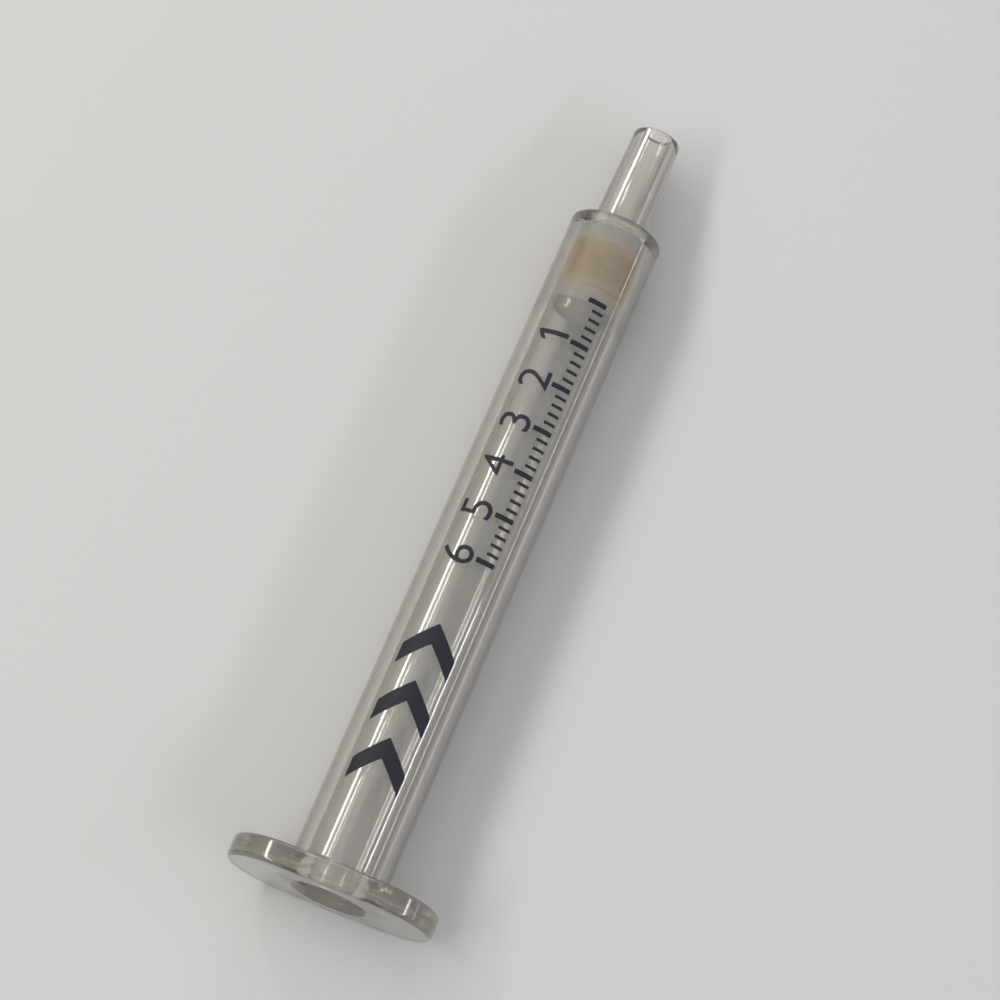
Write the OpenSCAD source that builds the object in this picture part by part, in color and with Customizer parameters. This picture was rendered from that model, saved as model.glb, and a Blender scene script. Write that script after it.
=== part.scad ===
// Solid-phase extraction cartridge, 1 mL size: a moulded syringe-type barrel with an eared flange
// and a male Luer tip, packed with a bed of sorbent between two frits.
// It lies on its side, resting on one long side of the flange and on the rim of the shoulder,
// with its tip towards +Y and +Z up. Millimetres.

/* [Tube] */
// Length of the tube, from the flange to the shoulder
tube_l = 57.4; // [40:0.1:80]
// Outer diameter of the tube where it meets the flange
tube_flange_d = 7.85; // [7.2:0.05:8.6]
// Outer diameter of the tube at the shoulder, smaller by the mould's draft
tube_shoulder_d = 7.7; // [7.2:0.05:8.6]
// Radius of the shoulder's outer edge
shoulder_round = 0.25; // [0.1:0.05:0.5]
// Thickness of the floor that closes the tube at the shoulder
floor_t = 0.8; // [0.5:0.1:2]

/* [Bore] */
// Diameter of the open bore, from the mouth to the packing
bore_d = 5.7; // [5:0.05:6.2]
// Depth of the lead-in at the mouth
mouth_lead_l = 0.5; // [0.2:0.1:1]
// How far the lead-in widens the mouth, on the radius
mouth_lead_w = 0.3; // [0.1:0.05:0.5]
// How much narrower the seat of the packing is than the bore, on the radius
seat_step = 0.05; // [0.02:0.01:0.2]
// Length of the cone that leads from the bore down to the seat
seat_lead_l = 0.6; // [0.2:0.1:2]
// How far the seat reaches past the packing
seat_spare_l = 0.3; // [0:0.1:2]

/* [Flange] */
// Length of the flange over its two ears
flange_l = 16.8; // [13:0.1:20]
// Width of the flange over its straight sides
flange_w = 9.6; // [9:0.1:12]
// Thickness of the flange
flange_t = 1.9; // [1.2:0.1:3]
// Radius of the flange's edges
flange_edge = 0.35; // [0.1:0.05:0.5]
// Radius of the blend between the flange and the tube
flange_blend = 0.45; // [0.1:0.05:0.6]

/* [Luer tip] */
// Length of the tip past the shoulder
tip_l = 9.25; // [7.5:0.05:14]
// Diameter of the tip at its end
tip_end_d = 3.97; // [3.9:0.01:4.1]
// Taper of the tip, as millimetres of diameter for each millimetre of length
tip_taper = 0.06; // [0.04:0.005:0.08]
// Radius of the outer edge of the tip's end
tip_end_round = 0.3; // [0.1:0.05:0.5]
// Radius of the blend between the tip and the shoulder's face
tip_blend = 0.25; // [0.1:0.05:0.5]
// Diameter of the outlet at the tip's end
outlet_end_d = 2.2; // [1.2:0.1:2.8]
// Diameter of the outlet where it leaves the floor
outlet_floor_d = 2.5; // [1.2:0.1:3.2]

/* [Packing] */
// Thickness of each frit
frit_t = 1.5; // [0.8:0.1:3]
// Size of the broken edge round each frit
frit_edge = 0.12; // [0.05:0.01:0.3]
// Length of the sorbent bed between the frits
bed_l = 4; // [1:0.1:20]
// Gap that keeps the packing off the wall of its seat, on the radius
packing_clear = 0.02; // [0.01:0.01:0.1]

/* [Hidden] */

$fn = 96;
// How far a cut runs past the face that it opens
past = 1;

// Stations along the cartridge, from the open face of the flange at 0
shoulder_z = flange_t + tube_l;
tip_z = shoulder_z + tip_l;
floor_z = shoulder_z - floor_t;
lower_frit_z = floor_z - frit_t;
bed_z = lower_frit_z - bed_l;
upper_frit_z = bed_z - frit_t;
seat_z = upper_frit_z - seat_spare_l;

tube_flange_r = tube_flange_d / 2;
tube_shoulder_r = tube_shoulder_d / 2;
tip_end_r = tip_end_d / 2;
tip_base_r = tip_end_r + tip_l * tip_taper / 2;
bore_r = bore_d / 2;
seat_r = bore_r - seat_step;
packing_r = seat_r - packing_clear;

// Lean of each drafted wall from the axis
tube_lean = atan((tube_flange_r - tube_shoulder_r) / tube_l);
tip_lean = atan(tip_taper / 2);

// Round edges that take the weight: [station, distance from the axis] of each edge's centre
flange_foot = [flange_t - flange_edge, flange_w / 2 - flange_edge];
shoulder_foot = [shoulder_z - shoulder_round, tube_shoulder_r - shoulder_round];
foot_span = shoulder_foot - flange_foot;

// The tip dips until both round edges touch the surface that the cartridge lies on
dip = atan2(-foot_span.y, foot_span.x) + asin((flange_edge - shoulder_round) / norm(foot_span));
rest_h = flange_foot.x * sin(dip) + flange_foot.y * cos(dip) + flange_edge;

// Ends of the cartridge along Y once it has dipped, on the round edges of the tip and the flange
far_y = (tip_z - tip_end_round) * cos(dip) + (tip_end_r - tip_end_round) * sin(dip) + tip_end_round;
near_y = flange_edge * cos(dip) - flange_foot.y * sin(dip) - flange_edge;

// Turns a piece from its upright frame, tip up, to the way it lies, centred over the origin
module laid_down() {
    translate([0, -(far_y + near_y) / 2, rest_h])
        rotate([-90 - dip, 0, 0])
            children();
}

// Half section of a drafted round boss with a rounded end, from base_z up to end_z
module boss_section(base_r, base_z, end_r, end_z, end_round) {
    lean = atan((base_r - end_r) / (end_z - base_z));
    centre = [end_r + end_round * tan(lean) - end_round / cos(lean), end_z - end_round];
    polygon([
        [0, base_z],
        [base_r, base_z],
        centre + end_round * [cos(lean), sin(lean)],
        [centre.x, end_z],
        [0, end_z]
    ]);
    translate(centre) circle(end_round);
}

// Half section of the blend between a leaning wall, whose foot is at foot_r, and the face below it
module blend_section(foot_r, face_z, lean, blend) {
    centre = [foot_r - blend * tan(lean) + blend / cos(lean), face_z + blend];
    wall = centre - blend * [cos(lean), sin(lean)];
    difference() {
        polygon([
            [foot_r - blend, face_z],
            [centre.x, face_z],
            centre,
            wall,
            [foot_r - blend, wall.y]
        ]);
        translate(centre) circle(blend);
    }
}

// Half section of a plate with a rounded rim, reach wide from its middle
module rim_section(reach, thick, edge) {
    square([reach - edge, thick]);
    translate([0, edge]) square([reach, thick - 2 * edge]);
    translate([reach - edge, edge]) circle(edge);
    translate([reach - edge, thick - edge]) circle(edge);
}

// Eared flange: straight sides between two round ends
module flange_plate() {
    ear_x = (flange_l - flange_w) / 2;
    for (side = [-1, 1])
        translate([side * ear_x, 0, 0])
            rotate_extrude()
                rim_section(flange_w / 2, flange_t, flange_edge);
    translate([-ear_x, 0, 0])
        rotate([90, 0, 90])
            linear_extrude(2 * ear_x) {
                rim_section(flange_w / 2, flange_t, flange_edge);
                mirror([1, 0]) rim_section(flange_w / 2, flange_t, flange_edge);
            }
}

// Outside of the tube and the tip, with their blends
module tube_and_tip() {
    rotate_extrude() {
        boss_section(tube_flange_r, flange_t, tube_shoulder_r, shoulder_z, shoulder_round);
        boss_section(tip_base_r, shoulder_z, tip_end_r, tip_z, tip_end_round);
        blend_section(tube_flange_r, flange_t, tube_lean, flange_blend);
        blend_section(tip_base_r, shoulder_z, tip_lean, tip_blend);
    }
}

// Inside of the barrel: lead-in, open bore, cone down to the seat, seat and outlet
module bore_and_outlet() {
    translate([0, 0, -past])
        cylinder(h = past + floor_z, r = seat_r);
    translate([0, 0, -past])
        cylinder(h = past + seat_z - seat_lead_l, r = bore_r);
    translate([0, 0, seat_z - seat_lead_l])
        cylinder(h = seat_lead_l, r1 = bore_r, r2 = seat_r);
    cylinder(h = mouth_lead_l, r1 = bore_r + mouth_lead_w, r2 = bore_r);
    translate([0, 0, floor_z])
        cylinder(h = tip_z - floor_z, d1 = outlet_floor_d, d2 = outlet_end_d);
    translate([0, 0, tip_z - past])
        cylinder(h = 2 * past, d = outlet_end_d);
}

// Porous disc with broken edges, from base_z towards the tip
module frit_disc(base_z) {
    rotate_extrude()
        polygon([
            [0, base_z],
            [packing_r - frit_edge, base_z],
            [packing_r, base_z + frit_edge],
            [packing_r, base_z + frit_t - frit_edge],
            [packing_r - frit_edge, base_z + frit_t],
            [0, base_z + frit_t]
        ]);
}

// One moulding of clear polypropylene: flange, tube, floor and Luer tip
module barrel() {
    color([0.84, 0.86, 0.85, 0.4])
        laid_down()
            difference() {
                union() {
                    flange_plate();
                    tube_and_tip();
                }
                bore_and_outlet();
            }
}

// White porous disc on the floor, which keeps the sorbent in
module lower_frit() {
    color([0.88, 0.88, 0.86])
        laid_down()
            frit_disc(lower_frit_z);
}

// Packed bed of tan sorbent particles
module sorbent_bed() {
    color([0.78, 0.62, 0.42])
        laid_down()
            translate([0, 0, bed_z])
                cylinder(h = bed_l, r = packing_r);
}

// White porous disc on top of the bed
module upper_frit() {
    color([0.88, 0.88, 0.86])
        laid_down()
            frit_disc(upper_frit_z);
}

barrel();
lower_frit();
sorbent_bed();
upper_frit();
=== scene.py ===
"""Looks for a 1 mL solid-phase extraction cartridge that lies on its side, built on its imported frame.

The barrel, the frits and the bed are turned again at a finer step than the frame's, from the same
sizes, and stand for their nodes. The print on the tube is plain chevrons and a volume scale.
Lengths are millimetres in the upright frame, with 0 at the flange's open face and the tip up.
"""

import logging
import math
from collections.abc import Iterable
from dataclasses import dataclass
from enum import Enum
from typing import Any

import bmesh
import bpy
from mathutils import Matrix, Vector

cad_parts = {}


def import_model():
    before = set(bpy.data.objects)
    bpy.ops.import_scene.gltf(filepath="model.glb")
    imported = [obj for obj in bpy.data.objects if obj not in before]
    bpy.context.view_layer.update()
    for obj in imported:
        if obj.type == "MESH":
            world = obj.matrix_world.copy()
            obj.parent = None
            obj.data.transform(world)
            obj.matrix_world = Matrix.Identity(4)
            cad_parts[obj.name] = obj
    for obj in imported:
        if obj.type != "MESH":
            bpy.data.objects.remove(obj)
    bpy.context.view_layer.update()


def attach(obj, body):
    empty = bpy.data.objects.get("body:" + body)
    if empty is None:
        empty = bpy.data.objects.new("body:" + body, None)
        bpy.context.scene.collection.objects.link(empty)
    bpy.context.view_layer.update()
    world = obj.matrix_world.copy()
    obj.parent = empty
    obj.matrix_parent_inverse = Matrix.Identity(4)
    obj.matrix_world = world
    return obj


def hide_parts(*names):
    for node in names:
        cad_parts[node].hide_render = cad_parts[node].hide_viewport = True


LOG = logging.getLogger("cartridge")
MM = 0.001
MERGE_DISTANCE = 1e-5
SHARP_OVER = math.radians(50.0)
BODY = "root"

Colour = tuple[float, float, float]


class Slot(Enum):
    """Material slots that the record names."""

    CLEAR_POLYPROPYLENE = "clear_polypropylene"
    FRIT = "frit"
    SORBENT = "sorbent"
    INK = "ink"


class Node(Enum):
    """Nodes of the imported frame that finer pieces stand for."""

    BARREL = "barrel"
    LOWER_FRIT = "lower_frit"
    SORBENT_BED = "sorbent_bed"
    UPPER_FRIT = "upper_frit"


# ---------------------------------------------------------------------------------------------
# Sizes
# ---------------------------------------------------------------------------------------------


@dataclass(frozen=True)
class Lie:
    """How the cartridge lies on its side.

    Attributes:
        dip: Angle by which the tip points down, in radians.
        rest_height: Height of the middle of the flange's open face.
        mid_y: How far that face lies from the middle of the cartridge's length.
    """

    dip: float
    rest_height: float
    mid_y: float

    def mouth(self) -> Vector:
        """Middle of the flange's open face in the row's frame, in millimetres."""
        return Vector((0.0, -self.mid_y, self.rest_height))

    def axis(self) -> Vector:
        """Direction of the tip in the row's frame."""
        return Vector((0.0, math.cos(self.dip), -math.sin(self.dip)))

    def matrix(self) -> Matrix:
        """Gives the way from the upright frame, in millimetres, to the row's frame, in metres.

        Returns:
            The matrix.
        """
        turn = Matrix.Rotation(-math.pi / 2.0 - self.dip, 4, "X")
        move = Matrix.Translation(self.mouth())
        return Matrix.Scale(MM, 4) @ move @ turn


@dataclass(frozen=True)
class Sizes:
    """Driving sizes of the cartridge, and the stations that follow from them.

    Attributes:
        tube_length: Length of the tube, from the flange to the shoulder.
        tube_flange_radius: Outer radius of the tube at the flange.
        tube_shoulder_radius: Outer radius of the tube at the shoulder.
        shoulder_round: Radius of the shoulder's outer edge.
        floor_thickness: Thickness of the floor that closes the tube at the shoulder.
        bore_radius: Radius of the open bore.
        lead_length: Depth of the lead-in at the mouth.
        lead_width: How far the lead-in widens the mouth.
        seat_radius: Radius of the packing's seat.
        seat_lead: Length of the cone from the bore down to the seat.
        seat_spare: How far the seat reaches past the packing.
        flange_length: Length of the flange over its ears.
        flange_width: Width of the flange over its straight sides.
        flange_thickness: Thickness of the flange.
        flange_edge: Radius of the flange's edges.
        flange_blend: Radius of the blend between the flange and the tube.
        tip_length: Length of the tip.
        tip_end_radius: Outer radius of the tip at its end.
        tip_taper: Taper of the tip, on its diameter.
        tip_end_round: Radius of the outer edge of the tip's end.
        tip_blend: Radius of the blend between the tip and the shoulder's face.
        outlet_end_radius: Radius of the outlet at the tip's end.
        outlet_floor_radius: Radius of the outlet at the floor.
        frit_thickness: Thickness of each frit.
        bed_length: Length of the sorbent bed between the frits.
        packing_clear: Gap that keeps the packing off the wall of its seat.
    """

    tube_length: float = 57.4
    tube_flange_radius: float = 3.925
    tube_shoulder_radius: float = 3.85
    shoulder_round: float = 0.25
    floor_thickness: float = 0.8
    bore_radius: float = 2.85
    lead_length: float = 0.5
    lead_width: float = 0.3
    seat_radius: float = 2.8
    seat_lead: float = 0.6
    seat_spare: float = 0.3
    flange_length: float = 16.8
    flange_width: float = 9.6
    flange_thickness: float = 1.9
    flange_edge: float = 0.35
    flange_blend: float = 0.45
    tip_length: float = 9.25
    tip_end_radius: float = 1.985
    tip_taper: float = 0.06
    tip_end_round: float = 0.3
    tip_blend: float = 0.25
    outlet_end_radius: float = 1.1
    outlet_floor_radius: float = 1.25
    frit_thickness: float = 1.5
    bed_length: float = 4.0
    packing_clear: float = 0.02

    @property
    def shoulder(self) -> float:
        """Station of the shoulder's face."""
        return self.flange_thickness + self.tube_length

    @property
    def floor(self) -> float:
        """Station of the barrel's floor, on which the packing stands."""
        return self.shoulder - self.floor_thickness

    @property
    def bed_end(self) -> float:
        """Station of the bed's face towards the tip."""
        return self.floor - self.frit_thickness

    @property
    def bed_start(self) -> float:
        """Station of the bed's face towards the mouth."""
        return self.bed_end - self.bed_length

    @property
    def packing_top(self) -> float:
        """Station of the upper frit's open face."""
        return self.bed_start - self.frit_thickness

    @property
    def seat_start(self) -> float:
        """Station where the packing's seat starts."""
        return self.packing_top - self.seat_spare

    @property
    def bore_end(self) -> float:
        """Station where the bore starts to narrow down to the seat."""
        return self.seat_start - self.seat_lead

    @property
    def tip_end(self) -> float:
        """Station of the tip's end."""
        return self.shoulder + self.tip_length

    @property
    def tip_foot_radius(self) -> float:
        """Outer radius of the tip at the shoulder's face."""
        return self.tip_end_radius + self.tip_length * self.tip_taper / 2.0

    @property
    def packing_radius(self) -> float:
        """Outer radius of the frits and the bed."""
        return self.seat_radius - self.packing_clear

    def tube_radius(self, station: float) -> float:
        """Gives the outer radius of the drafted tube.

        Args:
            station: Place along the axis.

        Returns:
            The radius there.
        """
        share = (station - self.flange_thickness) / self.tube_length
        return self.tube_flange_radius + share * (self.tube_shoulder_radius - self.tube_flange_radius)

    def lie(self) -> Lie:
        """Works out how the cartridge lies, on the round edges of its flange and its shoulder.

        Returns:
            The way it lies, with the middle of its length over the row's origin.
        """
        foot_station = self.flange_thickness - self.flange_edge
        foot_reach = self.flange_width / 2.0 - self.flange_edge
        along = self.shoulder - self.shoulder_round - foot_station
        down = foot_reach - (self.tube_shoulder_radius - self.shoulder_round)
        edges = (self.flange_edge - self.shoulder_round) / math.hypot(along, down)
        dip = math.atan2(down, along) + math.asin(edges)
        sine, cosine = math.sin(dip), math.cos(dip)
        end_station = self.tip_end - self.tip_end_round
        end_reach = self.tip_end_radius - self.tip_end_round
        far = end_station * cosine + end_reach * sine + self.tip_end_round
        near = self.flange_edge * cosine - foot_reach * sine - self.flange_edge
        rest_height = foot_station * sine + foot_reach * cosine + self.flange_edge
        return Lie(dip, rest_height, (far + near) / 2.0)


# ---------------------------------------------------------------------------------------------
# Shader maths
# ---------------------------------------------------------------------------------------------


class Term:
    """A value socket that takes part in Python arithmetic, which adds its Math nodes."""

    def __init__(self, bench: "NodeBench", socket: bpy.types.NodeSocket) -> None:
        """Wraps one output socket.

        Args:
            bench: The bench whose tree holds the socket.
            socket: The output socket.
        """
        self.bench = bench
        self.socket = socket

    def _math(self, operation: str, first: Any, second: Any) -> "Term":
        """Adds one Math node on two values.

        Args:
            operation: The node's operation.
            first: The first value or Term.
            second: The second value or Term.

        Returns:
            The node's result.
        """
        return self.bench.term(
            "ShaderNodeMath",
            {"operation": operation},
            {0: first, 1: second},
        )

    def __add__(self, other: Any) -> "Term":
        """Self plus other."""
        return self._math("ADD", self, other)

    __radd__ = __add__

    def __sub__(self, other: Any) -> "Term":
        """Self minus other."""
        return self._math("SUBTRACT", self, other)

    def __rsub__(self, other: Any) -> "Term":
        """Other minus self."""
        return self._math("SUBTRACT", other, self)

    def __mul__(self, other: Any) -> "Term":
        """Self times other."""
        return self._math("MULTIPLY", self, other)

    __rmul__ = __mul__


@dataclass(frozen=True)
class Pattern:
    """Soft noise whose spots can be drawn out along the cartridge.

    Attributes:
        across: How many units of noise a metre holds across the cartridge.
        along: How many it holds along the cartridge.
        detail: How many octaves.
        roughness: How strong the fine octaves are.
    """

    across: float
    along: float
    detail: float
    roughness: float


class NodeBench:
    """Adds nodes to one node tree, each with its settings first and its sockets after."""

    def __init__(self, tree: bpy.types.NodeTree) -> None:
        """Starts from an empty tree.

        Args:
            tree: The material's or world's node tree.
        """
        tree.nodes.clear()
        self.tree = tree

    def node(
        self,
        kind: str,
        settings: dict[str, Any] | None = None,
        sockets: dict[str | int, Any] | None = None,
    ) -> bpy.types.Node:
        """Adds one node.

        Args:
            kind: The node's type name.
            settings: Its own settings.
            sockets: Values or Terms for its input sockets, by name or number.

        Returns:
            The new node.
        """
        made = self.tree.nodes.new(kind)
        for name, value in (settings or {}).items():
            setattr(made, name, value)
        for key, value in (sockets or {}).items():
            if isinstance(value, Term):
                self.tree.links.new(value.socket, made.inputs[key])
            elif isinstance(value, tuple) and len(value) == 3 and made.inputs[key].type == "RGBA":
                made.inputs[key].default_value = (*value, 1.0)
            else:
                made.inputs[key].default_value = value
        return made

    def term(
        self,
        kind: str,
        settings: dict[str, Any] | None = None,
        sockets: dict[str | int, Any] | None = None,
        output: str | int = 0,
    ) -> Term:
        """Adds one node and gives one of its outputs.

        Args:
            kind: The node's type name.
            settings: Its own settings.
            sockets: Values or Terms for its input sockets.
            output: The output's name or number.

        Returns:
            That output as a Term.
        """
        return Term(self, self.node(kind, settings, sockets).outputs[output])

    def object_coordinates(self, scale: tuple[float, float, float]) -> Term:
        """Object coordinates, in metres, times a scale for each axis.

        Args:
            scale: How many units of pattern a metre holds, for each axis.

        Returns:
            The scaled coordinates.
        """
        place = self.term("ShaderNodeTexCoord", output="Object")
        return self.term("ShaderNodeMapping", None, {"Vector": place, "Scale": scale})

    def noise(self, pattern: Pattern) -> Term:
        """Soft noise around 0.5.

        Args:
            pattern: Its size and kind.

        Returns:
            The noise's value.
        """
        place = self.object_coordinates((pattern.across, pattern.along, pattern.across))
        sockets = {
            "Vector": place,
            "Scale": 1.0,
            "Detail": pattern.detail,
            "Roughness": pattern.roughness,
        }
        return self.term("ShaderNodeTexNoise", None, sockets)

    def grains(self, size: float) -> Term:
        """Packed grains: 0 in the middle of each, rising towards its neighbours.

        Args:
            size: Size of a grain, in millimetres.

        Returns:
            The distance from the nearest grain's middle.
        """
        fine = 1.0 / (size * MM)
        place = self.object_coordinates((fine, fine, fine))
        return self.term("ShaderNodeTexVoronoi", None, {"Vector": place, "Scale": 1.0}, "Distance")

    def blend(self, share: Term, first: Term | Colour, second: Term | Colour) -> Term:
        """A colour between two colours.

        Args:
            share: How much of the second colour.
            first: The colour at 0.
            second: The colour at 1.

        Returns:
            The blended colour.
        """
        settings = {"data_type": "RGBA", "clamp_factor": True}
        return self.term("ShaderNodeMix", settings, {0: share, 6: first, 7: second}, 2)

    def from_mouth(self, lie: Lie) -> Term:
        """Place from the middle of the flange's open face, in millimetres.

        Args:
            lie: How the cartridge lies.

        Returns:
            The place as a vector.
        """
        place = self.object_coordinates((1.0 / MM, 1.0 / MM, 1.0 / MM))
        sockets = {0: place, 1: tuple(lie.mouth())}
        return self.term("ShaderNodeVectorMath", {"operation": "SUBTRACT"}, sockets)

    def station(self, lie: Lie) -> Term:
        """Place along the cartridge's axis, in millimetres from the flange's open face.

        Args:
            lie: How the cartridge lies.

        Returns:
            The station.
        """
        sockets = {0: self.from_mouth(lie), 1: tuple(lie.axis())}
        return self.term("ShaderNodeVectorMath", {"operation": "DOT_PRODUCT"}, sockets, "Value")

    def reach(self, lie: Lie) -> Term:
        """Distance from the cartridge's axis, in millimetres.

        Args:
            lie: How the cartridge lies.

        Returns:
            The distance.
        """
        sockets = {0: self.from_mouth(lie), 1: tuple(lie.axis())}
        across = self.term("ShaderNodeVectorMath", {"operation": "CROSS_PRODUCT"}, sockets)
        return self.term("ShaderNodeVectorMath", {"operation": "LENGTH"}, {0: across}, "Value")

    def fade(self, value: Term, start: float, end: float, peak: float = 1.0) -> Term:
        """Goes softly from 0 at one value to a peak at another, and stays there.

        Args:
            value: The value that decides.
            start: Where the result is 0.
            end: Where the result is the peak.
            peak: The highest result.

        Returns:
            The result.
        """
        sockets = {"Value": value, "From Min": start, "From Max": end, "To Min": 0.0, "To Max": peak}
        return self.term("ShaderNodeMapRange", {"interpolation_type": "SMOOTHSTEP"}, sockets)

    def bump(self, height: Term, distance: float, strength: float) -> Term:
        """A bumped normal.

        Args:
            height: The height, where 1 stands the distance out.
            distance: The height of 1, in millimetres.
            strength: How much of the bump shows.

        Returns:
            The normal.
        """
        sockets = {"Height": height, "Distance": distance * MM, "Strength": strength}
        return self.term("ShaderNodeBump", None, sockets)

    def dress(
        self,
        sockets: dict[str | int, Any],
        volume: bpy.types.Node | None = None,
    ) -> None:
        """Adds the surface's shader and wires the material's output.

        Args:
            sockets: Values or Terms for the Principled shader's sockets.
            volume: The inside's shader, if it has one.
        """
        shader = self.node("ShaderNodeBsdfPrincipled", None, sockets)
        output = self.node("ShaderNodeOutputMaterial")
        self.tree.links.new(shader.outputs[0], output.inputs["Surface"])
        if volume is not None:
            self.tree.links.new(volume.outputs[0], output.inputs["Volume"])


def new_material(name: str) -> tuple[bpy.types.Material, NodeBench]:
    """Makes an empty node material.

    Args:
        name: The material's name.

    Returns:
        The material and the bench for its nodes.
    """
    material = bpy.data.materials.new(name)
    material.use_nodes = True
    return material, NodeBench(material.node_tree)


# ---------------------------------------------------------------------------------------------
# Finishes
# ---------------------------------------------------------------------------------------------


@dataclass(frozen=True)
class Frost:
    """A band of the moulding whose surface is rougher.

    Attributes:
        first: Station where it starts.
        last: Station where it ends.
        amount: How much rougher it is.
        within: Distance from the axis past which it isn't frosted.
    """

    first: float
    last: float
    amount: float
    within: float = 20.0


@dataclass(frozen=True)
class ClearPolypropylene:
    """Clear moulded polypropylene: bright, a little milky, with faint flow lines along the tube and painted
    shade where it turns away.

    Attributes:
        tint: Colour of the surface where it faces the viewer.
        painted_edge_shade: Painted shade: darker colour of the surface where it turns away from the viewer,
            standing in for dark surroundings seen in the walls.
        painted_shade_start: How far it has turned away where that painted shade starts, from 0 to 1.
        painted_shade_end: How far it has turned away where that painted shade is full.
        depth_tint: Colour that thick plastic takes on.
        depth_density: How fast it takes that colour on, for each metre.
        index: Index of refraction.
        clearness: Share of the light that the surface lets through.
        haze_low: Lowest roughness.
        haze_high: Highest roughness.
        haze: Pattern of the roughness.
        lines: Pattern of the flow lines.
        line_height: Height of the flow lines, in millimetres.
        frost_fade: Length over which a frosted band fades out.
    """

    tint: Colour = (0.895, 0.885, 0.86)
    painted_edge_shade: Colour = (0.38, 0.365, 0.32)
    painted_shade_start: float = 0.20
    painted_shade_end: float = 0.65
    depth_tint: Colour = (0.64, 0.60, 0.50)
    depth_density: float = 115.0
    index: float = 1.49
    clearness: float = 0.91
    haze_low: float = 0.02
    haze_high: float = 0.07
    haze: Pattern = Pattern(260.0, 160.0, 4.0, 0.6)
    lines: Pattern = Pattern(1100.0, 24.0, 3.0, 0.5)
    line_height: float = 0.004
    frost_fade: float = 0.25

    def material(self, lie: Lie, frosted: list[Frost]) -> bpy.types.Material:
        """Builds the material.

        Args:
            lie: How the cartridge lies.
            frosted: The bands that are frosted.

        Returns:
            The new material.
        """
        material, bench = new_material("clear_polypropylene")
        # Painted shade: the colour darkens where the surface turns away from the viewer, standing in for
        # dark surroundings seen in the walls.
        turned_away = bench.term("ShaderNodeLayerWeight", None, {"Blend": 0.5}, "Facing")
        edge = bench.fade(turned_away, self.painted_shade_start, self.painted_shade_end)
        rough = self.haze_low + bench.noise(self.haze) * (self.haze_high - self.haze_low)
        station, reach = bench.station(lie), bench.reach(lie)
        for band in frosted:
            risen = bench.fade(station, band.first - self.frost_fade, band.first)
            fallen = bench.fade(station, band.last + self.frost_fade, band.last)
            inside = bench.fade(reach, band.within + self.frost_fade, band.within, band.amount)
            rough = rough + risen * fallen * inside
        depth = bench.node(
            "ShaderNodeVolumeAbsorption",
            None,
            {"Color": self.depth_tint, "Density": self.depth_density},
        )
        bench.dress(
            {
                # The base colour carries the painted edge shade.
                "Base Color": bench.blend(edge, self.tint, self.painted_edge_shade),
                "Roughness": rough,
                "IOR": self.index,
                "Transmission Weight": self.clearness,
                "Coat Weight": 1.0,
                "Coat Roughness": 0.03,
                "Coat IOR": 1.45,
                "Normal": bench.bump(bench.noise(self.lines), self.line_height, 1.0),
            },
            depth,
        )
        return material


@dataclass(frozen=True)
class PorousPolyethylene:
    """White sintered polyethylene: fused grains with dark pores between them.

    Attributes:
        grain: Colour of the grains.
        pore: Colour of the pores.
        dust: Colour that the bed's dust gives it.
        grain_size: Size of a grain.
        cloud: Pattern of its unevenness.
        pore_share: How much the gaps between the grains darken it.
        cloud_share: How much its unevenness darkens it.
        depth: Depth of the pores.
        dust_above: How far the dust reaches on the mouth's side.
        dust_below: How far the dust reaches on the tip's side.
        dusty_above: How much dust there is on the mouth's side.
        dusty_below: How much dust there is on the tip's side.
        ragged: How unevenly the dust reaches.
    """

    grain: Colour = (0.72, 0.70, 0.65)
    pore: Colour = (0.44, 0.43, 0.39)
    dust: Colour = (0.70, 0.54, 0.34)
    grain_size: float = 0.11
    cloud: Pattern = Pattern(700.0, 700.0, 3.0, 0.6)
    pore_share: float = 0.75
    cloud_share: float = 0.35
    depth: float = 0.03
    dust_above: float = 1.1
    dust_below: float = 0.6
    dusty_above: float = 0.85
    dusty_below: float = 0.6
    ragged: float = 0.3

    def material(self, sizes: Sizes) -> bpy.types.Material:
        """Builds the material.

        Args:
            sizes: The cartridge's sizes.

        Returns:
            The new material.
        """
        material, bench = new_material("porous_polyethylene")
        cells, cloud = bench.grains(self.grain_size), bench.noise(self.cloud)
        station = bench.station(sizes.lie()) + cloud * self.ragged - self.ragged / 2.0
        first, last = sizes.bed_start, sizes.bed_end
        above = bench.fade(station, first - self.dust_above, first, self.dusty_above)
        below = bench.fade(station, last + self.dust_below, last, self.dusty_below)
        near_tip = bench.fade(station, first, last)
        clean = bench.blend(
            cells * self.pore_share + cloud * self.cloud_share,
            self.grain,
            self.pore,
        )
        dusted = above * (1.0 - near_tip) + below * near_tip
        bench.dress(
            {
                "Base Color": bench.blend(dusted, clean, self.dust),
                "Roughness": 0.62 + cloud * 0.2,
                "IOR": 1.5,
                "Subsurface Weight": 0.25,
                "Subsurface Radius": (1.0, 1.0, 0.9),
                "Subsurface Scale": 0.3 * MM,
                "Normal": bench.bump(1.0 - cells, self.depth, 0.7),
            }
        )
        return material


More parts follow.
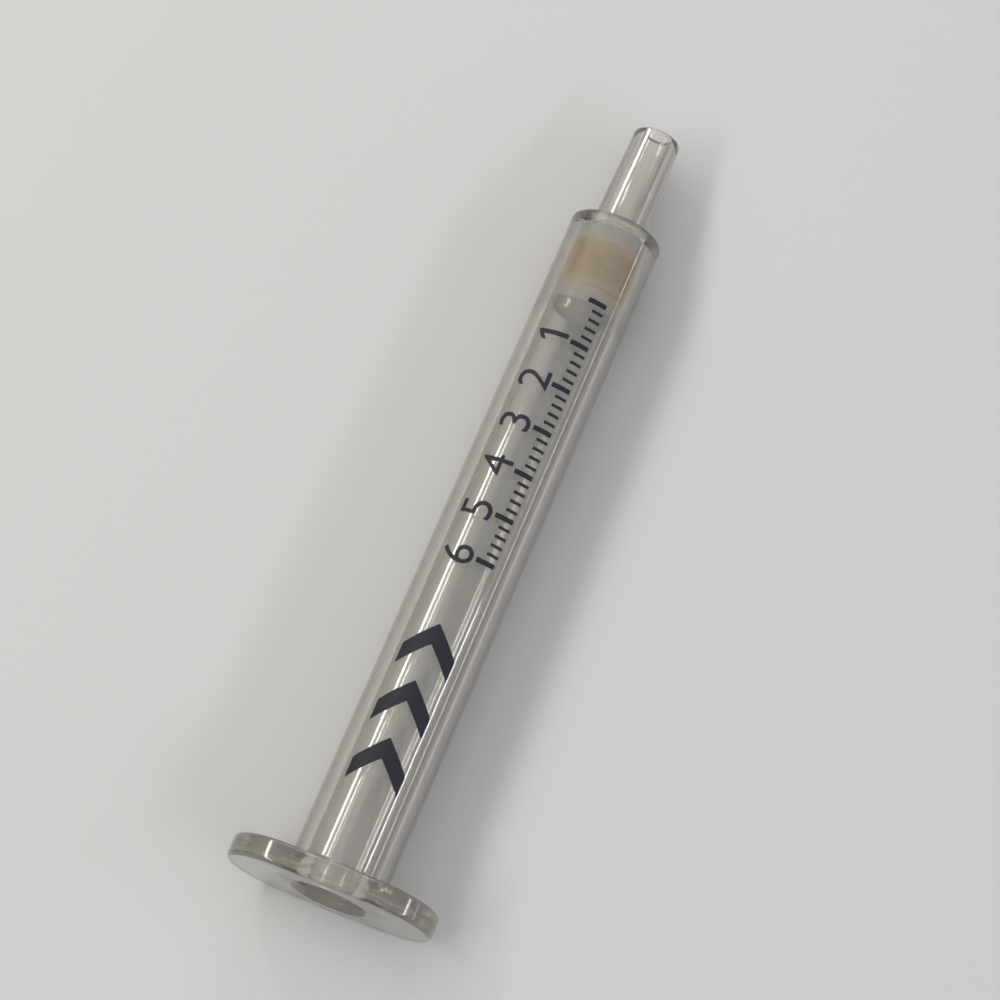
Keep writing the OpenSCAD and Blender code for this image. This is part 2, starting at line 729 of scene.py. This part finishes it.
@dataclass(frozen=True)
class PackedSorbent:
    """Tan sorbent particles, packed dry: fine grains, with painted light from the white frits making them
    paler near the frits.

    Attributes:
        light: Colour of the paler grains.
        dark: Colour of the darker grains.
        rosy: Colour that the rosier drifts lean to.
        painted_frit_light: Painted light: colour by the frits, as if their white light shone into the bed.
        grain_size: Size of a grain.
        depth: Depth between the grains.
        clump: Pattern of the clumps.
        drift: Pattern of the rosier drifts.
        cell_share: How much the gaps between the grains darken it.
        clump_share: How much the clumps darken it.
        shade_floor: Darkening that is taken off again.
        drift_gain: How sharply the rosier drifts stand out.
        drift_floor: How much of them is taken off again.
        painted_light_reach_mouth: How far the upper frit's painted light reaches.
        painted_light_reach_tip: How far the lower frit's painted light reaches.
        painted_light_share: How strongly that painted light shows.
        ragged: How unevenly it reaches.
    """

    light: Colour = (0.67, 0.41, 0.06)
    dark: Colour = (0.35, 0.20, 0.03)
    rosy: Colour = (0.63, 0.32, 0.09)
    painted_frit_light: Colour = (0.72, 0.56, 0.31)
    grain_size: float = 0.09
    depth: float = 0.035
    clump: Pattern = Pattern(2600.0, 2600.0, 4.0, 0.7)
    drift: Pattern = Pattern(330.0, 80.0, 2.0, 0.5)
    cell_share: float = 0.5
    clump_share: float = 1.6
    shade_floor: float = 0.62
    drift_gain: float = 2.4
    drift_floor: float = 0.8
    painted_light_reach_mouth: float = 1.4
    painted_light_reach_tip: float = 1.0
    painted_light_share: float = 0.6
    ragged: float = 0.3

    def material(self, sizes: Sizes) -> bpy.types.Material:
        """Builds the material.

        Args:
            sizes: The cartridge's sizes.

        Returns:
            The new material.
        """
        material, bench = new_material("packed_sorbent")
        cells, drift = bench.grains(self.grain_size), bench.noise(self.drift)
        clumps = bench.noise(self.clump) * self.clump_share
        shade = cells * self.cell_share + clumps - self.shade_floor
        rosiness = drift * self.drift_gain - self.drift_floor
        station = bench.station(sizes.lie()) + drift * self.ragged - self.ragged / 2.0
        first, last = sizes.bed_start, sizes.bed_end
        # Painted light: the bed's colour grows paler towards each frit, as if the frits' white light shone
        # in.
        lit_by_upper_frit = bench.fade(station, first + self.painted_light_reach_mouth, first, self.painted_light_share)
        lit_by_lower_frit = bench.fade(station, last - self.painted_light_reach_tip, last, self.painted_light_share)
        grains = bench.blend(shade, self.light, self.dark)
        grains = bench.blend(rosiness, grains, self.rosy)
        bench.dress(
            {
                "Base Color": bench.blend(lit_by_upper_frit + lit_by_lower_frit, grains, self.painted_frit_light),
                "Roughness": 0.7 + cells * 0.2,
                "IOR": 1.5,
                "Normal": bench.bump(1.0 - cells, self.depth, 0.8),
            }
        )
        return material


@dataclass(frozen=True)
class PrintingInk:
    """Dark navy pad-printing ink, slightly uneven and half glossy.

    Attributes:
        thick: Colour where much ink lies.
        thin: Colour where little ink lies.
        cover: Pattern of how much ink lies.
        depth: How far the ink's surface rises and falls.
    """

    thick: Colour = (0.009, 0.009, 0.018)
    thin: Colour = (0.020, 0.020, 0.034)
    cover: Pattern = Pattern(2600.0, 2600.0, 3.0, 0.6)
    depth: float = 0.004

    def material(self) -> bpy.types.Material:
        """Builds the material.

        Returns:
            The new material.
        """
        material, bench = new_material("printing_ink")
        cover = bench.noise(self.cover)
        bench.dress(
            {
                "Base Color": bench.blend(cover, self.thick, self.thin),
                "Roughness": 0.42 + cover * 0.25,
                "IOR": 1.4,
                "Normal": bench.bump(cover, self.depth, 0.5),
            }
        )
        return material


@dataclass(frozen=True)
class PaleFloor:
    """Plain matt studio floor.

    Attributes:
        colour: Its colour.
    """

    colour: Colour = (0.62, 0.62, 0.63)

    def material(self) -> bpy.types.Material:
        """Builds the material.

        Returns:
            The new material.
        """
        material, bench = new_material("pale_floor")
        bench.dress({"Base Color": self.colour, "Roughness": 0.85, "IOR": 1.4})
        return material


# ---------------------------------------------------------------------------------------------
# Shapes
# ---------------------------------------------------------------------------------------------


@dataclass(frozen=True)
class Corner:
    """One corner of a half section.

    Attributes:
        radius: Distance from the axis.
        station: Place along the axis.
        rounding: Radius of the corner's round, or 0.
        segments: How many facets the round has.
    """

    radius: float
    station: float
    rounding: float = 0.0
    segments: int = 3


def turned(corners: list[Corner], closed: bool, steps: int) -> bmesh.types.BMesh:
    """Turns a half section about the upright axis.

    Args:
        corners: The section's corners in order.
        closed: True for a ring, False for a section that starts and ends on the axis.
        steps: How many facets the whole turn has.

    Returns:
        The turned shape as one closed mesh.
    """
    shape = bmesh.new()
    verts = [shape.verts.new((c.radius, 0.0, c.station)) for c in corners]
    ends = verts[1:] + verts[:1] if closed else verts[1:]
    for start, end in zip(verts, ends):
        shape.edges.new((start, end))
    for vert, corner in zip(verts, corners):
        if corner.rounding > 0.0:
            bmesh.ops.bevel(
                shape,
                geom=[vert],
                offset=corner.rounding,
                offset_type="OFFSET",
                segments=corner.segments,
                profile=0.5,
                affect="VERTICES",
                material=-1,
            )
    half_step = Matrix.Rotation(math.pi / steps, 3, "Z")
    bmesh.ops.rotate(shape, verts=shape.verts, cent=(0.0, 0.0, 0.0), matrix=half_step)
    bmesh.ops.spin(
        shape,
        geom=shape.verts[:] + shape.edges[:],
        cent=(0.0, 0.0, 0.0),
        axis=(0.0, 0.0, 1.0),
        dvec=(0.0, 0.0, 0.0),
        angle=math.tau,
        steps=steps,
        use_merge=True,
        use_duplicate=False,
    )
    bmesh.ops.remove_doubles(shape, verts=shape.verts, dist=MERGE_DISTANCE)
    bmesh.ops.recalc_face_normals(shape, faces=shape.faces)
    return shape


@dataclass
class Piece:
    """What every separate piece has.

    Attributes:
        name: The piece's name.
        slot: The record's material slot for its finish; not used.
        sizes: The cartridge's sizes.
    """

    name: str
    slot: Slot
    sizes: Sizes

    def place(self, shape: bmesh.types.BMesh, material: bpy.types.Material) -> bpy.types.Object:
        """Lays a shape down and makes it an object that rides on the frame.

        Args:
            shape: The shape in the upright frame. It is freed here.
            material: The finish.

        Returns:
            The new object.
        """
        bmesh.ops.transform(shape, matrix=self.sizes.lie().matrix(), verts=shape.verts)
        for face in shape.faces:
            face.smooth = True
        for edge in shape.edges:
            edge.smooth = edge.calc_face_angle(0.0) < SHARP_OVER
        mesh = bpy.data.meshes.new(self.name)
        shape.to_mesh(mesh)
        shape.free()
        mesh.materials.append(material)
        made = bpy.data.objects.new(self.name, mesh)
        bpy.context.scene.collection.objects.link(made)
        evened = made.modifiers.new("even_shading", "WEIGHTED_NORMAL")
        evened.keep_sharp = True
        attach(made, BODY)
        LOG.info("%s: %d faces", self.name, len(mesh.polygons))
        return made


@dataclass
class Barrel(Piece):
    """The one moulding of clear polypropylene: eared flange, tube, floor and Luer tip.

    Attributes:
        broken_edge: Radius of the edges that the sizes leave sharp.
        seat_soft: Radius of the two edges of the cone above the seat.
        flange_frost: How much rougher the flange is.
        seat_frost: How much rougher the seat's wall is.
        floor_frost: How much rougher the floor is.
        steps: How many facets its turn has.
    """

    broken_edge: float = 0.05
    seat_soft: float = 0.2
    flange_frost: float = 0.09
    seat_frost: float = 0.22
    floor_frost: float = 0.32
    steps: int = 192

    def frosted(self) -> list[Frost]:
        """Lists the bands that are frosted: the flange, the seat's wall and the floor.

        Returns:
            The bands.
        """
        sizes = self.sizes
        return [
            Frost(0.0, sizes.flange_thickness, self.flange_frost),
            Frost(sizes.bore_end, sizes.floor, self.seat_frost, sizes.bore_radius),
            Frost(sizes.floor, sizes.shoulder, self.floor_frost),
        ]

    def section(self) -> list[Corner]:
        """Half section of the barrel, with a round flange that spread_ears turns into the real one.

        Returns:
            The corners, from the mouth round the outside to the tip and back up the bore.
        """
        sizes, edge, soft = self.sizes, self.broken_edge, self.seat_soft
        rim, thick = sizes.flange_width / 2.0, sizes.flange_thickness
        return [
            Corner(sizes.bore_radius + sizes.lead_width, 0.0, edge),
            Corner(rim, 0.0, sizes.flange_edge, segments=8),
            Corner(rim, thick, sizes.flange_edge, segments=8),
            Corner(sizes.tube_flange_radius, thick, sizes.flange_blend, segments=8),
            Corner(sizes.tube_shoulder_radius, sizes.shoulder, sizes.shoulder_round, segments=8),
            Corner(sizes.tip_foot_radius, sizes.shoulder, sizes.tip_blend, segments=6),
            Corner(sizes.tip_end_radius, sizes.tip_end, sizes.tip_end_round, segments=8),
            Corner(sizes.outlet_end_radius, sizes.tip_end, edge),
            Corner(sizes.outlet_floor_radius, sizes.floor, edge),
            Corner(sizes.seat_radius, sizes.floor, edge),
            Corner(sizes.seat_radius, sizes.seat_start, soft, segments=2),
            Corner(sizes.bore_radius, sizes.bore_end, soft, segments=2),
            Corner(sizes.bore_radius, sizes.lead_length, edge),
        ]

    def spread_ears(self, shape: bmesh.types.BMesh) -> None:
        """Moves the two halves of the round rim apart, which leaves straight sides between them.

        Args:
            shape: The turned barrel.
        """
        sizes = self.sizes
        ear = (sizes.flange_length - sizes.flange_width) / 2.0
        rim_start = sizes.flange_width / 2.0 - sizes.flange_edge
        blend_end = sizes.tube_flange_radius + sizes.flange_blend
        between = (rim_start + blend_end) / 2.0
        rim = [v for v in shape.verts if math.hypot(v.co.x, v.co.y) > between]
        for side in (-1.0, 1.0):
            half = [v for v in rim if v.co.x * side > 0.0]
            bmesh.ops.translate(shape, verts=half, vec=(side * ear, 0.0, 0.0))

    def build(self, finish: ClearPolypropylene) -> bpy.types.Object:
        """Makes the barrel.

        Args:
            finish: The clear polypropylene.

        Returns:
            The barrel's object.
        """
        shape = turned(self.section(), True, self.steps)
        self.spread_ears(shape)
        made = self.place(shape, finish.material(self.sizes.lie(), self.frosted()))
        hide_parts(Node.BARREL.value)
        return made


@dataclass
class Packing(Piece):
    """A frit or the bed: a disc that fills the seat.

    Attributes:
        node: The frame's node that it stands for.
        start: Station of its face towards the mouth.
        length: Its length along the axis.
        edge: Size of its broken edges.
        steps: How many facets its turn has.
    """

    node: Node
    start: float
    length: float
    edge: float = 0.12
    steps: int = 160

    def build(self, material: bpy.types.Material) -> bpy.types.Object:
        """Makes the disc.

        Args:
            material: Its finish.

        Returns:
            The disc's object.
        """
        end, radius = self.start + self.length, self.sizes.packing_radius
        section = [
            Corner(0.0, self.start),
            Corner(radius, self.start, self.edge),
            Corner(radius, end, self.edge),
            Corner(0.0, end),
        ]
        made = self.place(turned(section, False, self.steps), material)
        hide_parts(self.node.value)
        return made


@dataclass
class TubePrint(Piece):
    """Ink on the tube: flat marks that are wrapped round the drafted wall.

    A flat mark's x is its station along the tube, and its y runs round the tube.

    Attributes:
        ink_above: How far the ink stands off the wall.
        ink_below: How far it reaches into the wall, so that no air lies under it.
        strip: Width of the strips that the marks are cut into before they bend.
    """

    ink_above: float = 0.012
    ink_below: float = 0.004
    strip: float = 0.15

    def bar(self, shape: bmesh.types.BMesh, centre: tuple[float, float], size: tuple[float, float]) -> None:
        """Adds a rectangular mark.

        Args:
            shape: The flat marks.
            centre: Its middle.
            size: Its size along and round the tube.
        """
        made = bmesh.ops.create_grid(shape, x_segments=1, y_segments=1, size=0.5)
        verts = made["verts"]
        bmesh.ops.scale(shape, verts=verts, vec=(size[0], size[1], 1.0))
        bmesh.ops.translate(shape, verts=verts, vec=(centre[0], centre[1], 0.0))

    def wrap(self, shape: bmesh.types.BMesh) -> None:
        """Gives the flat marks their thickness and bends them round the tube.

        Args:
            shape: The flat marks.
        """
        reach = max(abs(v.co.y) for v in shape.verts)
        count = int(reach / self.strip) + 1
        for cut in range(-count, count + 1):
            geometry = shape.verts[:] + shape.edges[:] + shape.faces[:]
            bmesh.ops.bisect_plane(
                shape,
                geom=geometry,
                dist=MERGE_DISTANCE,
                plane_co=(0.0, cut * self.strip, 0.0),
                plane_no=(0.0, 1.0, 0.0),
            )
        for face in shape.faces:
            if face.normal.z < 0.0:
                face.normal_flip()
        base = shape.verts[:]
        raised = bmesh.ops.extrude_face_region(shape, geom=shape.faces[:])["geom"]
        top = [g for g in raised if isinstance(g, bmesh.types.BMVert)]
        bmesh.ops.translate(shape, verts=base, vec=(0.0, 0.0, -self.ink_below))
        bmesh.ops.translate(shape, verts=top, vec=(0.0, 0.0, self.ink_above))
        for vert in shape.verts:
            radius = self.sizes.tube_radius(vert.co.x) + vert.co.z
            turn = vert.co.y / radius
            vert.co = (-radius * math.sin(turn), -radius * math.cos(turn), vert.co.x)
        bmesh.ops.recalc_face_normals(shape, faces=shape.faces)


@dataclass
class FlowChevrons(TubePrint):
    """Bold chevrons near the flange, which point the way that the liquid flows.

    Attributes:
        start: Station where the first one starts.
        end: Station where the last one ends.
        width: Width of each, round the tube.
        stroke: Width of their strokes, along the tube.
        count: How many there are.
        soft_corner: Radius of their corners.
    """

    start: float = 8.4
    end: float = 22.1
    width: float = 4.5
    stroke: float = 1.75
    count: int = 3
    soft_corner: float = 0.08

    def build(self, material: bpy.types.Material) -> bpy.types.Object:
        """Makes the chevrons.

        Args:
            material: The ink.

        Returns:
            The chevrons as one object.
        """
        shape = bmesh.new()
        half = self.width / 2.0
        length = half + self.stroke
        pitch = (self.end - self.start - length) / (self.count - 1)
        for number in range(self.count):
            back = self.start + number * pitch
            outline = [
                (back, half),
                (back + half, 0.0),
                (back, -half),
                (back + self.stroke, -half),
                (back + length, 0.0),
                (back + self.stroke, half),
            ]
            verts = [shape.verts.new((x, y, 0.0)) for x, y in outline]
            shape.faces.new(verts)
            bmesh.ops.bevel(
                shape,
                geom=verts,
                offset=self.soft_corner,
                offset_type="OFFSET",
                segments=3,
                profile=0.5,
                affect="VERTICES",
                material=-1,
            )
        self.wrap(shape)
        return self.place(shape, material)


@dataclass
class VolumeScale(TubePrint):
    """Fine scale of tenths of a millilitre, counted from the top of the upper frit.

    Attributes:
        pitch: Length of the bore that holds a tenth of a millilitre.
        tenths: How many tenths it counts.
        parts: How many ticks a tenth has.
        long_tick: Length of the ticks at the tenths.
        short_tick: Length of the ticks between them.
        long_stroke: Width of the ticks at the tenths.
        short_stroke: Width of the ticks between them.
        foot: Where the ticks start, round the tube.
        figure_height: Height of the figures.
        figure_gap: Gap between the ticks and the figures.
        one_outline: Corners of the 1, in units of its own.
    """

    pitch: float = 3.92
    tenths: int = 6
    parts: int = 5
    long_tick: float = 1.6
    short_tick: float = 1.0
    long_stroke: float = 0.42
    short_stroke: float = 0.26
    foot: float = -2.15
    figure_height: float = 2.6
    figure_gap: float = 0.25
    one_outline: tuple[tuple[float, float], ...] = (
        (0.0, 0.0),
        (1.1, 0.0),
        (1.1, 7.0),
        (0.4, 7.0),
        (-1.3, 5.6),
        (-1.3, 4.55),
        (0.0, 5.6),
    )

    def one(self) -> bmesh.types.BMesh:
        """Makes a 1 with a flag, as the built-in one is a bare bar.

        Returns:
            The flat figure.
        """
        flat = bmesh.new()
        flat.faces.new([flat.verts.new((x, y, 0.0)) for x, y in self.one_outline])
        return flat

    def built_in(self, digit: str) -> bmesh.types.BMesh:
        """Makes a figure of the built-in lettering.

        Args:
            digit: The figure.

        Returns:
            The flat figure.
        """
        curve = bpy.data.curves.new("figure", "FONT")
        curve.body = digit
        curve.resolution_u = 8
        words = bpy.data.objects.new("figure", curve)
        bpy.context.scene.collection.objects.link(words)
        bpy.context.view_layer.update()
        graph = bpy.context.evaluated_depsgraph_get()
        mesh = bpy.data.meshes.new_from_object(words.evaluated_get(graph))
        flat = bmesh.new()
        flat.from_mesh(mesh)
        bpy.data.objects.remove(words)
        bpy.data.curves.remove(curve)
        bpy.data.meshes.remove(mesh)
        bmesh.ops.remove_doubles(flat, verts=flat.verts, dist=MERGE_DISTANCE)
        return flat

    def figure(self, digit: str, station: float) -> bmesh.types.BMesh:
        """Makes one plain figure, flat and in place.

        Args:
            digit: The figure.
            station: Station of its middle.

        Returns:
            The flat figure.
        """
        flat = self.one() if digit == "1" else self.built_in(digit)
        low_x = min(v.co.x for v in flat.verts)
        high_x = max(v.co.x for v in flat.verts)
        low_y = min(v.co.y for v in flat.verts)
        high_y = max(v.co.y for v in flat.verts)
        size = self.figure_height / (high_y - low_y)
        middle = Vector(((low_x + high_x) / 2.0, low_y, 0.0))
        bmesh.ops.translate(flat, verts=flat.verts, vec=-middle)
        bmesh.ops.scale(flat, verts=flat.verts, vec=(size, size, 1.0))
        across = self.foot + self.long_tick + self.figure_gap
        bmesh.ops.translate(flat, verts=flat.verts, vec=(station, across, 0.0))
        return flat

    def build(self, material: bpy.types.Material) -> bpy.types.Object:
        """Makes the scale.

        Args:
            material: The ink.

        Returns:
            The scale as one object.
        """
        shape = bmesh.new()
        for mark in range(self.tenths * self.parts + 1):
            station = self.sizes.packing_top - mark * self.pitch / self.parts
            is_long = mark % self.parts == 0
            length = self.long_tick if is_long else self.short_tick
            stroke = self.long_stroke if is_long else self.short_stroke
            self.bar(shape, (station, self.foot + length / 2.0), (stroke, length))
            if is_long and mark > 0:
                flat = self.figure(str(mark // self.parts), station)
                mesh = bpy.data.meshes.new("figure")
                flat.to_mesh(mesh)
                flat.free()
                shape.from_mesh(mesh)
                bpy.data.meshes.remove(mesh)
        self.wrap(shape)
        return self.place(shape, material)


# ---------------------------------------------------------------------------------------------
# Studio
# ---------------------------------------------------------------------------------------------


def aim(made: bpy.types.Object, target: Vector, azimuth: float, elevation: float, distance: float) -> None:
    """Stands a lamp or a camera off its target, turned towards it, and adds it to the scene.

    Args:
        made: The lamp's or camera's object.
        target: What it points at.
        azimuth: Where it stands, in degrees, 0 towards -Y and 90 towards +X.
        elevation: Its height above the horizon, in degrees.
        distance: Its distance from the target, in metres.
    """
    turn, rise = math.radians(azimuth), math.radians(elevation)
    level = math.cos(rise)
    back = Vector((math.sin(turn) * level, -math.cos(turn) * level, math.sin(rise)))
    made.location = target + back * distance
    made.rotation_mode = "QUATERNION"
    made.rotation_quaternion = (-back).to_track_quat("-Z", "Y")
    bpy.context.scene.collection.objects.link(made)


@dataclass(frozen=True)
class SoftBox:
    """One rectangular lamp.

    Attributes:
        name: Its name.
        azimuth: Where it stands round the object, in degrees.
        elevation: Its height above the horizon, in degrees.
        distance: Its distance from the object, in metres.
        width: Its width, in metres.
        height: Its height, in metres.
        power: Its power, in watts.
        colour: Its colour.
    """

    name: str
    azimuth: float
    elevation: float
    distance: float
    width: float
    height: float
    power: float
    colour: Colour = (1.0, 1.0, 1.0)

    def build(self, target: Vector) -> bpy.types.Object:
        """Makes the lamp, turned towards the object.

        Args:
            target: What it points at.

        Returns:
            The lamp's object.
        """
        lamp = bpy.data.lights.new(self.name, "AREA")
        lamp.shape = "RECTANGLE"
        lamp.size = self.width
        lamp.size_y = self.height
        lamp.energy = self.power
        lamp.color = self.colour
        made = bpy.data.objects.new(self.name, lamp)
        aim(made, target, self.azimuth, self.elevation, self.distance)
        return made


@dataclass(frozen=True)
class Studio:
    """Plain pale floor, soft boxes, dim sky and the camera.

    Attributes:
        target_height: Height of the point that the lamps and the camera look at, in metres.
        azimuth: Where the camera stands, in degrees.
        elevation: The camera's height above the horizon, in degrees.
        distance: The camera's distance, in metres.
        lens: The camera's focal length, in millimetres.
        floor_size: Length of the floor's sides, in metres.
        sky_low: Grey of the sky at the horizon.
        sky_high: Grey of the sky overhead.
        boxes: The lamps.
    """

    target_height: float = 0.0048
    azimuth: float = 22.2
    elevation: float = 71.1
    distance: float = 0.240
    lens: float = 110.0
    floor_size: float = 1.5
    sky_low: float = 0.09
    sky_high: float = 0.68
    boxes: tuple[SoftBox, ...] = (
        SoftBox("left_strip", -75.0, 50.0, 0.5, 0.60, 0.05, 1.15, (1.0, 0.95, 0.86)),
        SoftBox("right_strip", 78.0, 32.0, 0.6, 0.60, 0.04, 0.8, (0.97, 0.98, 1.0)),
        SoftBox("edge_strip", 87.0, 10.0, 0.5, 0.60, 0.015, 0.16),
        SoftBox("tip_strip", -132.3, 34.2, 0.5, 0.09, 0.08, 0.30, (1.0, 0.98, 0.90)),
        SoftBox("back_box", -165.0, 28.0, 0.6, 0.30, 0.20, 0.45, (1.0, 0.97, 0.90)),
    )

    def floor(self) -> bpy.types.Object:
        """Makes the floor.

        Returns:
            The floor's object.
        """
        shape = bmesh.new()
        bmesh.ops.create_grid(shape, x_segments=1, y_segments=1, size=self.floor_size / 2.0)
        mesh = bpy.data.meshes.new("studio_floor")
        shape.to_mesh(mesh)
        shape.free()
        mesh.materials.append(PaleFloor().material())
        made = bpy.data.objects.new("studio_floor", mesh)
        bpy.context.scene.collection.objects.link(made)
        return made

    def sky(self) -> None:
        """Makes the dim sky, paler overhead than at the horizon."""
        world = bpy.data.worlds.new("studio_sky")
        world.use_nodes = True
        bench = NodeBench(world.node_tree)
        direction = bench.term("ShaderNodeTexCoord", output="Generated")
        up = bench.term("ShaderNodeSeparateXYZ", None, {0: direction}, "Z")
        low = (self.sky_low, self.sky_low, self.sky_low)
        high = (self.sky_high, self.sky_high, self.sky_high)
        colour = bench.blend(up, low, high)
        shine = bench.node("ShaderNodeBackground", None, {"Color": colour, "Strength": 1.0})
        output = bench.node("ShaderNodeOutputWorld")
        bench.tree.links.new(shine.outputs[0], output.inputs["Surface"])
        bpy.context.scene.world = world

    def camera(self, target: Vector) -> bpy.types.Object:
        """Makes the camera.

        Args:
            target: What it points at.

        Returns:
            The camera's object.
        """
        data = bpy.data.cameras.new("studio_camera")
        data.lens = self.lens
        data.clip_start = 0.01
        data.clip_end = 10.0
        made = bpy.data.objects.new("studio_camera", data)
        aim(made, target, self.azimuth, self.elevation, self.distance)
        bpy.context.scene.camera = made
        return made

    def build(self) -> None:
        """Makes the whole studio."""
        bpy.context.scene.view_settings.view_transform = "Standard"
        target = Vector((0.0, 0.0, self.target_height))
        self.floor()
        self.sky()
        for box in self.boxes:
            box.build(target)
        self.camera(target)


def add_packing(sizes: Sizes) -> None:
    """Makes the two frits and the bed between them.

    Args:
        sizes: The cartridge's sizes.
    """
    white = PorousPolyethylene().material(sizes)
    frits = (
        ("porous_upper_frit", Node.UPPER_FRIT, sizes.packing_top),
        ("porous_lower_frit", Node.LOWER_FRIT, sizes.bed_end),
    )
    for name, node, start in frits:
        Packing(name, Slot.FRIT, sizes, node, start, sizes.frit_thickness).build(white)
    tan = PackedSorbent().material(sizes)
    bed = Node.SORBENT_BED
    Packing("packed_bed", Slot.SORBENT, sizes, bed, sizes.bed_start, sizes.bed_length, 0.0).build(tan)


def main() -> None:
    """Builds the cartridge on its frame, then the studio."""
    logging.basicConfig(level=logging.INFO, format="%(name)s: %(message)s")
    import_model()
    sizes = Sizes()
    Barrel("clear_barrel", Slot.CLEAR_POLYPROPYLENE, sizes).build(ClearPolypropylene())
    add_packing(sizes)
    ink = PrintingInk().material()
    FlowChevrons("flow_chevrons", Slot.INK, sizes).build(ink)
    VolumeScale("volume_scale", Slot.INK, sizes).build(ink)
    Studio().build()


if __name__ == "__main__":
    main()
